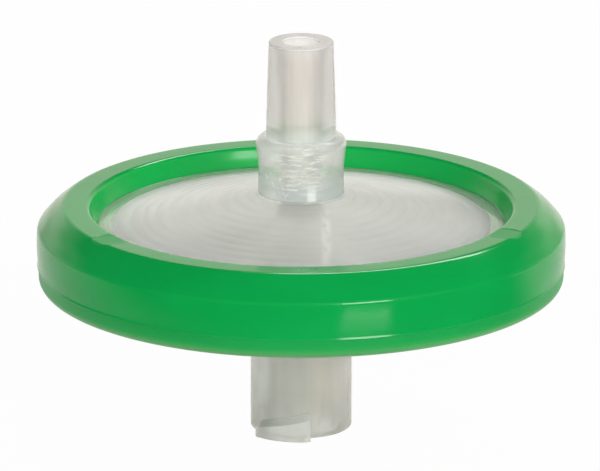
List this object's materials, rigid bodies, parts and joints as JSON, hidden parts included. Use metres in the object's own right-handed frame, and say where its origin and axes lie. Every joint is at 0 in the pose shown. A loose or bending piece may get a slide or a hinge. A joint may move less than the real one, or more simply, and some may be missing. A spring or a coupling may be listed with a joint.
{
  "type": "syringe filter",
  "caption": "Round disposable syringe filter with a male Luer nozzle, a female Luer lock inlet, a membrane behind a translucent plate and a green moulded ring.",
  "frame": {"origin": "middle of the inlet's mouth, on the surface that the filter stands on", "axes": "+Z along the axis from the inlet to the nozzle; -Y is the side with the mark where the ring's plastic went in; +X to its right"},
  "size_m": [0.033, 0.033, 0.0248],
  "materials": {
    "natural_plastic": "uncoloured polypropylene, translucent and glossy, as moulded",
    "membrane": "white microporous membrane, dull",
    "green_plastic": "green polypropylene, smooth and a little translucent, as moulded"
  },
  "bodies": {
    "root": {"inlet_housing": "natural_plastic", "membrane": "membrane", "outlet_housing": "natural_plastic", "ring": "green_plastic"}
  },
  "joints": []
}
